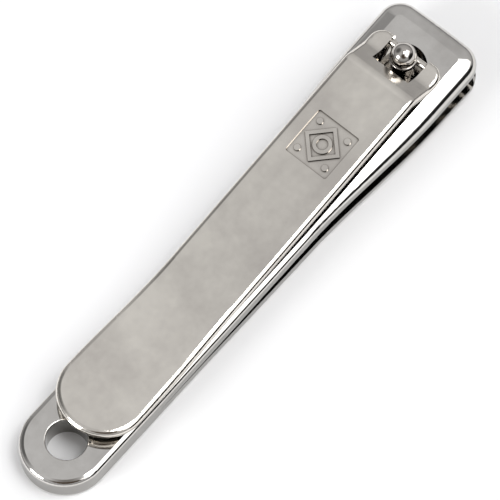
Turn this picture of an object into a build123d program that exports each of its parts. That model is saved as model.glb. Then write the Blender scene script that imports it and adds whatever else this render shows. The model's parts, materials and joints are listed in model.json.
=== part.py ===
"""Steel nail clipper: two sheet-steel jaws joined at the tail, a pivot post, and a fold-flat lever.

Frame, in millimetres: the origin is on the axis of the key-ring hole, in the plane the clipper
lies on.  +X runs along the clipper to the cutting edges, +Y to its left, +Z up.
"""
import math
import os

from build123d import *

# ---- jaws ----------------------------------------------------------------------------------
SHEET = 1.5               # thickness of each jaw
TAIL_RADIUS = 4.36        # round tail end, and half the jaw width up to the knee
TAIL_CENTRE_X = -0.24
FRONT_X = 55.4            # cutting edges, so the clipper is 60 mm long
RING_HOLE_R = 2.0
RING_HOLE_ROUND = 0.12
ROOT_X = 8.0              # rivet line: the jaws part company in front of it
KNEE_X = 14.0             # second, stronger bend of the upper jaw
ROOT_SLOPE = 2.2          # degrees, upper jaw between root and knee
ARM_SLOPE = 3.8           # degrees, upper jaw in front of the knee
WAIST_X = 30.0            # the arms begin to widen here
RIM_START_X = 36.0        # the sides begin to be drawn down here
HEAD_X = 48.0             # the head has parallel sides from here to its corners
ARM_STEPS = 6             # cross-sections that shape the widening arm
WAIST_HALF = 4.52
HEAD_HALF = 5.58
# the outer edge of the sheet is eased by a gentle slope beside the flat, then a round; both grow
# from the tail to the head
SLOPE_WIDE = (0.55, 1.75)     # width of the slope at the tail and at the head
SLOPE_DROP = (0.20, 0.55)     # how far it falls
SIDE_ROUND = (0.50, 1.10)     # round between the slope and the side
RIM = 0.3                 # how far the head's sides are drawn down
RIM_INSIDE_HALF = 4.2     # half width of the pocket between the drawn-down sides
HEAD_CORNER = 2.3         # head corners seen from above
EDGE_BOW = 0.12           # slight bow of the cutting edge
CLAW = 0.71               # the cutting lip stands this far past the sheet's inner face
CLAW_ROOT = 0.2           # how far the lip is rooted in the sheet
LIP_HEEL_X = 53.9         # heel of the ground bevel behind the cutting edge
EDGE_LAND = 0.08          # flat left on the cutting edge

# ---- tail rivet ----------------------------------------------------------------------------
RIVET_R = 1.0
RIVET_PLAY = 0.08         # radial gap in the upper jaw, which turns a little about this line
RIVET_HEAD_R = 1.6
RIVET_HEAD_GAP = 0.06
RIVET_HEAD_RISE = 0.42
RIVET_HEAD_ROUND = 0.25
RIVET_SINK_R = 1.7
RIVET_SINK = 0.6

# ---- pivot post ----------------------------------------------------------------------------
POST_X = 49.3
POST_R = 1.2
POST_PLAY = 0.05          # running fit in the lower jaw
UPPER_POST_HOLE_R = 2.4
FOOT_R = 1.9
FOOT_RECESS = 0.05        # the foot stays this far inside the lower jaw's underside
FOOT_TOP = 0.6
COLLAR_R = 1.38
COLLAR_HEIGHT = 0.4
COLLAR_ROUND = 0.15
BALL_R = 1.28
BALL_Z = 7.85

# ---- lever ---------------------------------------------------------------------------------
BAR_X = 50.2              # crossbar of the lever, held in the notch of the post
BAR_Z = 6.60
BAR_R = 0.38
NOTCH_PLAY = 0.06
LEVER_THICK = 1.1
LEVER_HALF = 4.15         # half width of the straight part
LEVER_THUMB_HALF = 4.55   # half width of the thumb end
LEVER_TAIL_X = 1.0
THUMB_X = 5.3             # the rounded thumb end reaches its full width here
STRAIGHT_X = 20.0         # the lever has parallel sides in front of this
EAR_REACH = 0.68          # ears in front of the crossbar's axis
EAR_CORNER = 1.5
SLOT_R = 3.08             # clears the ball as the lever swings
SLOT_HALF = 2.2
LEVER_ROUND = 0.52         # rounded upper edge
UPWARD = 0.3              # a face whose normal climbs more than this is an upper face
# centre line of the lever plate, seen from the side: tail, sag, hump, foot of the bend
LEVER_TAIL_Z = 4.5
SAG = (16.0, 4.25)
HUMP = (45.7, 7.94)
FOOT_OF_BEND_X = 48.5
EAR_SLOPE = 3.0           # degrees, the ears climb towards the front
SAG_RADIUS = 60.0
HUMP_RADIUS = 0.95
FOOT_RADIUS = 2.0

# ---- stamped badge on the lever ------------------------------------------------------------
BADGE_X = 37.2
BADGE_LONG = 5.2
BADGE_WIDE = 5.0
BADGE_DEPTH = 0.16
BADGE_CORNER = 0.25
BADGE_LINE = 0.36
BADGE_FIGURE_R = 2.15     # lozenge, centre to corner
BADGE_RING_R = 0.95
BADGE_DOT_GAP = 3.4
BADGE_DOT_R = 0.32

SPARE = 1.0               # how far a cutting tool runs past the solid that it trims
CLOSE = 0.01              # sizes nearer than this count as equal


def smooth(fraction):
    """Ease from 0 to 1 with level ends."""
    f = min(max(fraction, 0.0), 1.0)
    return f * f * (3 - 2 * f)


def half_width(u):
    """Half width of a jaw at distance u from the ring hole, measured along the jaw."""
    gentle = (WAIST_HALF - TAIL_RADIUS) * min(max((u - KNEE_X) / (WAIST_X - KNEE_X), 0.0), 1.0)
    flare = (HEAD_HALF - WAIST_HALF) * smooth((u - WAIST_X) / (HEAD_X - WAIST_X))
    return TAIL_RADIUS + gentle + flare


def between(sizes, share):
    """A size that grows from its tail value to its head value."""
    return sizes[0] + (sizes[1] - sizes[0]) * share


def jaw_section(plane, u):
    """Cross-section of a jaw: flat inside at local y = 0, eased outside."""
    swell = smooth((u - WAIST_X) / (HEAD_X - WAIST_X))
    rim = RIM * smooth((u - RIM_START_X) / (HEAD_X - RIM_START_X))
    side, flat = half_width(u), half_width(u) - between(SLOPE_WIDE, swell)
    shoulder = SHEET - between(SLOPE_DROP, swell)
    with BuildSketch(plane) as section:
        Polygon((-side, -rim), (side, -rim), (side, shoulder), (flat, SHEET), (-flat, SHEET),
                (-side, shoulder), align=None)
        fillet(section.vertices().group_by(Axis.Y)[1], radius=between(SIDE_ROUND, swell))
    return section.sketch


def ease(part, edges, share):
    """Slope, then round, along outer edges of the top face of a block whose top is at SHEET."""
    drop = between(SLOPE_DROP, share)
    chamfer(edges, length=between(SLOPE_WIDE, share), length2=drop,
            reference=part.faces().sort_by(Axis.Z)[-1])
    shoulder = [edge for edge in part.edges() if edge.bounding_box().size.Z < CLOSE
                and abs(edge.center().Z - SHEET + drop) < CLOSE]
    fillet(shoulder, radius=between(SIDE_ROUND, share))


def head_plan(plane):
    """Head of a jaw seen from above, with its origin at the knee."""
    back, side, front = HEAD_X - KNEE_X, FRONT_X - KNEE_X - EDGE_BOW, FRONT_X - KNEE_X
    with BuildSketch(plane) as plan:
        with BuildLine():
            Polyline((side, HEAD_HALF), (back, HEAD_HALF), (back, -HEAD_HALF), (side, -HEAD_HALF))
            ThreePointArc((side, -HEAD_HALF), (front, 0), (side, HEAD_HALF))
        make_face()
        fillet(plan.vertices().group_by(Axis.X)[-1], radius=HEAD_CORNER)
    return plan.sketch


def build_jaw(root_slope, arm_slope):
    """A jaw whose inner face is at z = 0 at the tail and climbs by the two slopes (degrees)."""
    tilt = math.radians(arm_slope)
    knee_z = (KNEE_X - ROOT_X) * math.tan(math.radians(root_slope))
    arm = Plane(origin=(KNEE_X, 0, knee_z), x_dir=(math.cos(tilt), 0, math.sin(tilt)),
                z_dir=(-math.sin(tilt), 0, math.cos(tilt)))

    def on_arm(u):
        return Plane(origin=arm.from_local_coords((u - KNEE_X, 0, 0)), x_dir=(0, 1, 0),
                     z_dir=arm.x_dir)

    root = Plane(origin=(ROOT_X, 0, 0), x_dir=(0, 1, 0), z_dir=(1, 0, 0))

    # tail: a flat tongue with a round end, up to the rivet line
    with BuildPart() as tail:
        with BuildSketch(Plane.XY):
            with Locations((TAIL_CENTRE_X, 0)):
                Circle(TAIL_RADIUS)
                Rectangle(ROOT_X - TAIL_CENTRE_X, 2 * TAIL_RADIUS, align=(Align.MIN, Align.CENTER))
        extrude(amount=SHEET)
        ease(tail, tail.faces().sort_by(Axis.Z)[-1].edges().sort_by(Axis.X)[:-1], 0)

    # bend in front of the rivet, then a slender arm up to the waist
    with BuildPart() as bend:
        loft([jaw_section(root, ROOT_X), jaw_section(on_arm(KNEE_X), KNEE_X)])
    with BuildPart() as slender_arm:
        loft([jaw_section(on_arm(KNEE_X), KNEE_X), jaw_section(on_arm(WAIST_X), WAIST_X)])

    # wide arm, wider and rounder towards the head
    step = (HEAD_X - WAIST_X) / ARM_STEPS
    with BuildPart() as wide_arm:
        loft([jaw_section(on_arm(WAIST_X + i * step), WAIST_X + i * step)
              for i in range(ARM_STEPS + 1)])

    # head with parallel sides, round corners and a full round over the top
    with BuildPart() as head:
        extrude(head_plan(Plane.XY.offset(-RIM)), amount=SHEET + RIM)
        ease(head, head.faces().sort_by(Axis.Z)[-1].edges().sort_by(Axis.X)[1:], 1)

    # space between the drawn-down sides
    with BuildPart() as pocket:
        with BuildSketch(arm):
            with Locations((RIM_START_X - KNEE_X, 0)):
                Rectangle(LIP_HEEL_X - RIM_START_X, 2 * RIM_INSIDE_HALF,
                          align=(Align.MIN, Align.CENTER))
        extrude(amount=-CLAW)

    # cutting lip with its ground inner bevel
    with BuildPart() as lip:
        extrude(head_plan(arm.offset(-CLAW)), amount=CLAW + CLAW_ROOT, dir=arm.z_dir)
        edge = FRONT_X - KNEE_X
        heel = LIP_HEEL_X - KNEE_X
        with BuildSketch(Plane(origin=arm.origin, x_dir=arm.x_dir, z_dir=(0, -1, 0))):
            Polygon((edge + SPARE, -CLAW), (edge - EDGE_BOW - EDGE_LAND, -CLAW), (heel, 0),
                    (heel, SHEET), (edge + SPARE, SHEET), align=None)
        extrude(amount=HEAD_HALF + SPARE, both=True, mode=Mode.INTERSECT)

    shell = tail.part + bend.part + slender_arm.part + wide_arm.part
    shell += arm.location * head.part
    return shell - pocket.part + lip.part


UPRIGHT = (Align.CENTER, Align.CENTER, Align.MIN)


def round_stock(x, radius, low, high, mode=Mode.ADD):
    """Upright cylinder on the clipper's centre line: a pin to add or a hole to take away."""
    with Locations((x, 0, low)):
        Cylinder(radius, high - low, align=UPRIGHT, mode=mode)


def rivet_sink(mode):
    """Countersunk foot of the rivet in the underside of the lower jaw."""
    with Locations((ROOT_X, 0, 0)):
        Cone(RIVET_SINK_R, RIVET_R, RIVET_SINK, align=UPRIGHT, mode=mode)


os.makedirs("parts", exist_ok=True)

# ---- lower jaw: lies flat, rounded below ---------------------------------------------------
lower_blank = Pos(0, 0, SHEET) * mirror(build_jaw(0, 0), about=Plane.XY)
with BuildPart() as lower_jaw:
    add(lower_blank)
    round_stock(0, RING_HOLE_R, -SHEET, 2 * SHEET, Mode.SUBTRACT)
    round_stock(ROOT_X, RIVET_R, -SHEET, 2 * SHEET, Mode.SUBTRACT)
    rivet_sink(Mode.SUBTRACT)
    round_stock(POST_X, POST_R + POST_PLAY, -SHEET, 2 * SHEET, Mode.SUBTRACT)
    round_stock(POST_X, FOOT_R + POST_PLAY, -SHEET, FOOT_TOP + POST_PLAY, Mode.SUBTRACT)
lower_jaw.part.label = "lower_jaw"

# ---- upper jaw: the same pressing, bent up from the rivet line -----------------------------
upper_blank = Pos(0, 0, SHEET) * build_jaw(ROOT_SLOPE, ARM_SLOPE)
with BuildPart() as upper_jaw:
    add(upper_blank)
    round_stock(0, RING_HOLE_R, 0, 3 * SHEET, Mode.SUBTRACT)
    hole_rim = [edge for edge in upper_jaw.edges().filter_by(GeomType.CIRCLE)
                if abs(edge.radius - RING_HOLE_R) < CLOSE and abs(edge.arc_center.X) < CLOSE
                and edge.arc_center.Z > 2 * SHEET - CLOSE]
    fillet(hole_rim, radius=RING_HOLE_ROUND)
    round_stock(ROOT_X, RIVET_R + RIVET_PLAY, 0, 3 * SHEET, Mode.SUBTRACT)
    round_stock(POST_X, UPPER_POST_HOLE_R, 2 * SHEET, BALL_Z, Mode.SUBTRACT)
upper_jaw.part.label = "upper_jaw"

# ---- tail rivet: flush below, low head above -----------------------------------------------
with BuildPart() as tail_rivet:
    head_base = 2 * SHEET + RIVET_HEAD_GAP
    round_stock(ROOT_X, RIVET_R, 0, head_base)
    round_stock(ROOT_X, RIVET_HEAD_R, head_base, head_base + RIVET_HEAD_RISE)
    fillet(tail_rivet.edges().sort_by(Axis.Z)[-1], radius=RIVET_HEAD_ROUND)
    rivet_sink(Mode.ADD)
tail_rivet.part.label = "tail_rivet"

# ---- pivot post: foot, shaft with a side notch, collar and ball ----------------------------
with BuildPart() as pivot_post:
    notch_low = BAR_Z - BAR_R - NOTCH_PLAY
    notch_high = BAR_Z + BAR_R + NOTCH_PLAY
    round_stock(POST_X, FOOT_R, FOOT_RECESS, FOOT_TOP)
    round_stock(POST_X, POST_R, FOOT_RECESS, notch_high)
    round_stock(POST_X, COLLAR_R, notch_high, notch_high + COLLAR_HEIGHT)
    fillet(pivot_post.faces().sort_by(Axis.Z)[-1].edges(), radius=COLLAR_ROUND)
    with Locations((POST_X, 0, BALL_Z)):
        Sphere(BALL_R)
    with BuildSketch(Plane.XZ):
        with Locations((BAR_X - BAR_R - NOTCH_PLAY, notch_low)):
            Rectangle(COLLAR_R, notch_high - notch_low, align=(Align.MIN, Align.MIN))
    extrude(amount=COLLAR_R, both=True, mode=Mode.SUBTRACT)
pivot_post.part.label = "pivot_post"

# ---- lever ---------------------------------------------------------------------------------
sag_slope = math.atan2(HUMP[1] - SAG[1], HUMP[0] - SAG[0])
ear_tilt = math.radians(EAR_SLOPE)


def on_ear(reach):
    """Point on the centre line of the ears, a distance in front of the crossbar's axis."""
    return (BAR_X + reach * math.cos(ear_tilt), BAR_Z + reach * math.sin(ear_tilt))


path_points = [(LEVER_TAIL_X - SPARE, LEVER_TAIL_Z), SAG, HUMP,
               on_ear((FOOT_OF_BEND_X - BAR_X) / math.cos(ear_tilt)),
               on_ear(EAR_REACH - LEVER_THICK / 2)]


def offset_path(points, distance):
    """Corner points of the polyline shifted sideways by a distance (left of travel positive)."""
    headings = [math.atan2(b[1] - a[1], b[0] - a[0]) for a, b in zip(points, points[1:])]
    shifted = []
    for i, (x, z) in enumerate(points):
        before = headings[max(i - 1, 0)]
        after = headings[min(i, len(headings) - 1)]
        middle = (before + after) / 2
        reach = distance / math.cos((after - before) / 2)
        shifted.append((x - reach * math.sin(middle), z + reach * math.cos(middle)))
    return shifted


half = LEVER_THICK / 2
top_path = offset_path(path_points, half)
low_path = offset_path(path_points, -half)

with BuildPart() as lever:
    with BuildSketch(Plane.XZ) as profile:
        with BuildLine():
            FilletPolyline(*top_path, radius=[SAG_RADIUS - half, HUMP_RADIUS + half,
                                              FOOT_RADIUS - half])
            FilletPolyline(*low_path, radius=[SAG_RADIUS + half, HUMP_RADIUS - half,
                                              FOOT_RADIUS + half])
            Line(top_path[0], low_path[0])
            ThreePointArc(top_path[-1], on_ear(EAR_REACH), low_path[-1])
        make_face()
    extrude(amount=LEVER_THUMB_HALF + SPARE, both=True)
    ear_tip = BAR_X + EAR_REACH
    with BuildSketch(Plane.XY):
        with BuildLine():
            EllipticalCenterArc((THUMB_X, 0), THUMB_X - LEVER_TAIL_X, LEVER_THUMB_HALF,
                                start_angle=90, arc_size=90)
            Spline((THUMB_X, LEVER_THUMB_HALF), (STRAIGHT_X, LEVER_HALF),
                   tangents=[(1, 0), (1, 0)])
            Line((STRAIGHT_X, LEVER_HALF), (ear_tip - EAR_CORNER, LEVER_HALF))
            RadiusArc((ear_tip - EAR_CORNER, LEVER_HALF), (ear_tip, LEVER_HALF - EAR_CORNER),
                      EAR_CORNER)
            Line((ear_tip, LEVER_HALF - EAR_CORNER), (ear_tip, 0))
            mirror(about=Plane.XZ)
        make_face()
    extrude(amount=BALL_Z + BALL_R, mode=Mode.INTERSECT)
    # slot for the post, and the crossbar left in front of it
    with BuildSketch(Plane.XZ):
        with Locations((BAR_X, BAR_Z)):
            Circle(SLOT_R)
    extrude(amount=SLOT_HALF, both=True, mode=Mode.SUBTRACT)
    # rounded upper edge all round the plate
    upper_faces = [face for face in lever.faces() if face.normal_at().Z > UPWARD]
    rim = [edge for edge in lever.edges()
           if sum(any(edge.is_same(side) for side in face.edges()) for face in upper_faces) == 1
           and (abs(edge.center().Y) > SLOT_HALF + BAR_R or edge.center().X < STRAIGHT_X)]
    fillet(rim, radius=LEVER_ROUND)
    # crossbar between the ears
    with BuildSketch(Plane.XZ):
        with Locations((BAR_X, BAR_Z)):
            Circle(BAR_R)
    extrude(amount=SLOT_HALF + BAR_R, both=True)
    # stamped square with a plain raised figure: a lozenge around a ring, and four corner dots
    face_z = SAG[1] + (BADGE_X - SAG[0]) * math.tan(sag_slope) + half / math.cos(sag_slope)
    badge_plane = Plane(origin=(BADGE_X, 0, face_z),
                        x_dir=(math.cos(sag_slope), 0, math.sin(sag_slope)),
                        z_dir=(-math.sin(sag_slope), 0, math.cos(sag_slope)))
    with BuildSketch(badge_plane):
        RectangleRounded(BADGE_LONG, BADGE_WIDE, BADGE_CORNER)
        with Locations((0, 0)):
            RegularPolygon(BADGE_FIGURE_R, 4, mode=Mode.SUBTRACT)
            RegularPolygon(BADGE_FIGURE_R - BADGE_LINE * math.sqrt(2), 4)
            Circle(BADGE_RING_R, mode=Mode.SUBTRACT)
            Circle(BADGE_RING_R - BADGE_LINE)
        with GridLocations(BADGE_DOT_GAP, BADGE_DOT_GAP, 2, 2):
            Circle(BADGE_DOT_R, mode=Mode.SUBTRACT)
    extrude(amount=-BADGE_DEPTH, mode=Mode.SUBTRACT)
lever.part.label = "lever"

for piece in (lower_jaw, upper_jaw, tail_rivet, pivot_post, lever):
    export_step(piece.part, f"parts/{piece.part.label}.step")
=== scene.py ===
"""Nail clipper: polished steel looks, camera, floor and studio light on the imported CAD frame.

Metres, in the CAD's frame: the ring hole is at the origin, +X runs to the cutting edges, +Z is up.
"""
import json
import math

import bpy
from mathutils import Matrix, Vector

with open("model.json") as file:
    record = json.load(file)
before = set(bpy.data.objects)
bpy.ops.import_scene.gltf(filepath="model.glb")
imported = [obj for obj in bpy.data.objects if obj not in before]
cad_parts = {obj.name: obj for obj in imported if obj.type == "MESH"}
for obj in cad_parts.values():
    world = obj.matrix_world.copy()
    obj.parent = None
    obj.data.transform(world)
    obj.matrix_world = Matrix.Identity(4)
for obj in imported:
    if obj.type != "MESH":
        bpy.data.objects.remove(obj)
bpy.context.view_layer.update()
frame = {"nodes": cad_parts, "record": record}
MM = 0.001


def direction(azimuth, elevation):
    """Unit vector for an azimuth from +X and an elevation, both in degrees."""
    a, e = math.radians(azimuth), math.radians(elevation)
    return Vector((math.cos(e) * math.cos(a), math.cos(e) * math.sin(a), math.sin(e)))


def aimed(name, data, out, distance):
    """A camera or light at a distance from the clipper, facing it."""
    thing = bpy.data.objects.new(name, data)
    thing.location = TARGET + out * distance
    thing.rotation_mode = "QUATERNION"
    thing.rotation_quaternion = (-out).to_track_quat("-Z", "Y")
    bpy.context.scene.collection.objects.link(thing)
    return thing


# ---- camera: looks down on the clipper from behind its right side ---------------------------
TARGET = Vector((27 * MM, 0, 3 * MM))
CAMERA_AZIMUTH = -139.8
CAMERA_ELEVATION = 65.9
CAMERA_DISTANCE = 0.426
CAMERA_LENS = 322.0            # focal length and sensor width, both in millimetres
CAMERA_SENSOR = 36.0
CAMERA_SHIFT = (-0.006, -0.0236)
CAMERA_CLIP = (0.01, 10.0)

camera_data = bpy.data.cameras.new("camera")
camera_data.lens = CAMERA_LENS
camera_data.sensor_width = CAMERA_SENSOR
camera_data.shift_x, camera_data.shift_y = CAMERA_SHIFT
camera_data.clip_start, camera_data.clip_end = CAMERA_CLIP
bpy.context.scene.camera = aimed("camera", camera_data, direction(CAMERA_AZIMUTH, CAMERA_ELEVATION),
                                 CAMERA_DISTANCE)
bpy.context.scene.view_settings.view_transform = "Standard"


# ---- node helpers ---------------------------------------------------------------------------
class Nodes:
    """Short helpers for building one node tree. A value may be a constant or a node's output."""

    def __init__(self, tree):
        self.tree = tree
        self.coordinates = tree.nodes.new("ShaderNodeTexCoord").outputs

    def feed(self, value, target):
        """Link an output to an input, or set the input to a constant."""
        if isinstance(value, bpy.types.NodeSocket):
            self.tree.links.new(value, target)
        else:
            target.default_value = value

    def noise(self, scale, detail=4.0, roughness=0.55):
        """Noise whose scale is given along X, Y and Z, in cycles per metre."""
        mapping = self.tree.nodes.new("ShaderNodeMapping")
        self.feed(self.coordinates["Object"], mapping.inputs["Vector"])
        self.feed(scale, mapping.inputs["Scale"])
        noise = self.tree.nodes.new("ShaderNodeTexNoise")
        self.feed(mapping.outputs["Vector"], noise.inputs["Vector"])
        self.feed(1.0, noise.inputs["Scale"])
        self.feed(detail, noise.inputs["Detail"])
        self.feed(roughness, noise.inputs["Roughness"])
        return noise.outputs["Fac"]

    def spread(self, source, span, onto=(0.0, 1.0)):
        """Map a value from one span onto another."""
        node = self.tree.nodes.new("ShaderNodeMapRange")
        self.feed(source, node.inputs["Value"])
        for socket, value in zip(("From Min", "From Max", "To Min", "To Max"), (*span, *onto)):
            self.feed(value, node.inputs[socket])
        return node.outputs["Result"]

    def math(self, operation, first, second=0.0):
        node = self.tree.nodes.new("ShaderNodeMath")
        node.operation = operation
        self.feed(first, node.inputs[0])
        self.feed(second, node.inputs[1])
        return node.outputs[0]

    def blend(self, first, second, share):
        """The first value by its share, the second by the rest."""
        return self.math("ADD", self.math("MULTIPLY", first, share),
                         self.math("MULTIPLY", second, 1 - share))

    def mix(self, factor, first, second):
        """Colour that runs from the first, at factor 0, to the second, at factor 1."""
        node = self.tree.nodes.new("ShaderNodeMix")
        node.data_type = "RGBA"
        self.feed(factor, node.inputs["Factor"])
        self.feed(first, node.inputs["A"])
        self.feed(second, node.inputs["B"])
        return node.outputs["Result"]

    def bump(self, height, strength, distance, below=None):
        node = self.tree.nodes.new("ShaderNodeBump")
        self.feed(height, node.inputs["Height"])
        self.feed(strength, node.inputs["Strength"])
        self.feed(distance, node.inputs["Distance"])
        if below is not None:
            self.feed(below, node.inputs["Normal"])
        return node.outputs["Normal"]


def material_nodes(name):
    """A new node material, the helpers for its tree, and its shader's inputs."""
    material = bpy.data.materials.new(name)
    material.use_nodes = True
    return material, Nodes(material.node_tree), material.node_tree.nodes["Principled BSDF"].inputs


# ---- steel ----------------------------------------------------------------------------------
CLOUD = {"scale": (150, 150, 150), "detail": 3}         # soft mottling, about 7 mm across
SMUDGES = {"scale": (900, 900, 900), "detail": 5}       # traces of handling, about 1 mm
GRAIN = {"scale": (400, 22000, 22000), "detail": 3, "roughness": 0.6}   # lines along the clipper
PITS = {"scale": (16000, 16000, 16000), "detail": 2}
CLOUD_SHARE = 0.7              # of the mottling, the rest is smudges
MOTTLE_SPAN = (0.35, 0.65)     # part of the mottling's values that the two tones spread over
MOTTLE_SHARE = 0.6             # of the roughness, the rest is polishing lines
GLOSS_SPAN = (0.38, 0.62)
GRAIN_DEPTH = 0.2e-6
PIT_DEPTH = 0.15e-6
# painted shade laid into inside corners: its colour, how far it reaches, and its span
CORNER_SHADE = (0.13, 0.11, 0.09, 1)
CORNER_SHADE_REACH = 0.42 * MM
CORNER_SHADE_SPAN = (0.45, 0.95)      # openness of a corner, from full painted shade to none
SIDE_SHADE_SPAN = (0.10, 0.35)    # uprightness of a face (Z of its normal), from an upright side in full painted shade to a flat face
SIDE_SHADE_TONE = 0.48            # painted shade of an upright side, as a share of the steel's darker tone


def steel(name, first_tone, second_tone, roughness, relief):
    """Polished stainless steel with mottling, smudges, polishing lines and fine pits, and painted
    shade in inside corners and on upright sides.
    """
    material, n, shader = material_nodes(name)
    n.feed(1.0, shader["Metallic"])
    mottle = n.blend(n.noise(**CLOUD), n.noise(**SMUDGES), CLOUD_SHARE)
    lines, pits = n.noise(**GRAIN), n.noise(**PITS)
    clean = n.mix(n.spread(mottle, MOTTLE_SPAN), (*first_tone, 1), (*second_tone, 1))
    # painted shade: inside corners, such as round the stamped figure, get a dark colour where shade
    # falls
    corners = n.tree.nodes.new("ShaderNodeAmbientOcclusion")
    corners.only_local = True
    n.feed(CORNER_SHADE_REACH, corners.inputs["Distance"])
    corner_shaded = n.mix(n.spread(corners.outputs["AO"], CORNER_SHADE_SPAN), CORNER_SHADE, clean)
    # painted shade: faces that stand upright, such as the sheet's sides, get a darker colour than its
    # flat faces
    facing = n.tree.nodes.new("ShaderNodeSeparateXYZ")
    n.feed(n.coordinates["Normal"], facing.inputs[0])
    upright = n.spread(n.math("ABSOLUTE", facing.outputs["Z"]), SIDE_SHADE_SPAN)
    side_shade = (*(value * SIDE_SHADE_TONE for value in min(first_tone, second_tone)), 1)
    n.feed(n.mix(upright, side_shade, corner_shaded), shader["Base Color"])
    n.feed(n.spread(n.blend(mottle, lines, MOTTLE_SHARE), GLOSS_SPAN, roughness), shader["Roughness"])
    fine = n.bump(lines, relief, GRAIN_DEPTH)
    n.feed(n.bump(pits, relief, PIT_DEPTH, fine), shader["Normal"])
    return material


looks = {
    "jaw_steel": steel("jaw_steel", first_tone=(0.74, 0.72, 0.69), second_tone=(0.60, 0.58, 0.55),
                       roughness=(0.04, 0.10), relief=0.2),
    "post_steel": steel("post_steel", first_tone=(0.55, 0.52, 0.49), second_tone=(0.64, 0.61, 0.57),
                        roughness=(0.06, 0.14), relief=0.2),
    "lever_steel": steel("lever_steel", first_tone=(0.71, 0.67, 0.62), second_tone=(0.88, 0.84, 0.77),
                         roughness=(0.10, 0.17), relief=0.3)}
for part in frame["record"]["subparts"]:
    node = frame["nodes"][part["node"]]
    node.data.materials.clear()
    node.data.materials.append(looks[part["material_slot"]])


# ---- floor ----------------------------------------------------------------------------------
FLOOR_HALF = 1.5
FLOOR_Z = -0.02 * MM           # just under the clipper's flat underside
FLOOR_CLOUD = {"scale": (20, 20, 20)}
FLOOR_TONES = ((0.86, 0.86, 0.87, 1), (0.90, 0.90, 0.90, 1))
FLOOR_ROUGHNESS = 0.7

floor_mesh = bpy.data.meshes.new("floor")
floor_mesh.from_pydata([(x * FLOOR_HALF, y * FLOOR_HALF, FLOOR_Z)
                        for x, y in ((-1, -1), (1, -1), (1, 1), (-1, 1))], [], [(0, 1, 2, 3)])
floor = bpy.data.objects.new("floor", floor_mesh)
bpy.context.scene.collection.objects.link(floor)
floor_material, floor_nodes, floor_shader = material_nodes("floor")
floor_nodes.feed(floor_nodes.mix(floor_nodes.noise(**FLOOR_CLOUD), *FLOOR_TONES),
                 floor_shader["Base Color"])
floor_nodes.feed(FLOOR_ROUGHNESS, floor_shader["Roughness"])
floor.data.materials.append(floor_material)

# ---- sky and lights -------------------------------------------------------------------------
# the sky's greys, as sine of the elevation and grey level: a dark horizon under a pale ceiling
SKY = ((0.00, 0.01), (0.06, 0.01), (0.10, 0.30), (0.40, 0.50), (0.80, 0.60), (0.92, 0.65),
       (1.00, 0.52))
SKY_BLUE = 1.01                # blue of each grey, as a share of its red and green
# dark parts of the room, at fixed places, that the rounded edges reflect: azimuth and elevation, the
# angles from there where full darkness ends and where the plain sky begins, all in degrees, colour
DARK_PARTS = (
    (-138, 52, 15, 27, (0.09, 0.07, 0.055, 1)),
    (100, 42, 12, 30, (0.14, 0.14, 0.14, 1)),
    (-68, 8, 24, 31, (0.02, 0.02, 0.02, 1)))
# soft rectangular lights: name, azimuth and elevation in degrees, width, height, watts
LIGHTS = (
    ("right", -62, 55, 0.9, 0.46, 2.3),
    ("left", 164, 28, 0.30, 0.30, 3.0),
    ("top", -62, 76, 0.30, 0.30, 2.2))
LIGHT_DISTANCE = 0.8

world = bpy.data.worlds.new("studio")
bpy.context.scene.world = world
world.use_nodes = True
sky = Nodes(world.node_tree)
height = sky.tree.nodes.new("ShaderNodeSeparateXYZ")
sky.feed(sky.coordinates["Generated"], height.inputs[0])
ramp = sky.tree.nodes.new("ShaderNodeValToRGB")
sky.feed(height.outputs["Z"], ramp.inputs["Fac"])
stops = ramp.color_ramp.elements
while len(stops) < len(SKY):
    stops.new(0.5)             # placed by the next loop
for stop, (position, grey) in zip(stops, SKY):
    stop.position, stop.color = position, (grey, grey, grey * SKY_BLUE, 1)
colours = ramp.outputs["Color"]
for azimuth, elevation, inner, outer, darkness in DARK_PARTS:
    nearness = sky.tree.nodes.new("ShaderNodeVectorMath")
    nearness.operation = "DOT_PRODUCT"
    sky.feed(sky.coordinates["Generated"], nearness.inputs[0])
    sky.feed(direction(azimuth, elevation), nearness.inputs[1])
    span = math.cos(math.radians(outer)), math.cos(math.radians(inner))
    colours = sky.mix(sky.spread(nearness.outputs["Value"], span), colours, darkness)
sky.feed(colours, sky.tree.nodes["Background"].inputs["Color"])

for name, azimuth, elevation, wide, high, watts in LIGHTS:
    light = bpy.data.lights.new(name, "AREA")
    light.shape, light.size, light.size_y = "RECTANGLE", wide, high
    light.energy = watts
    aimed(name, light, direction(azimuth, elevation), LIGHT_DISTANCE)
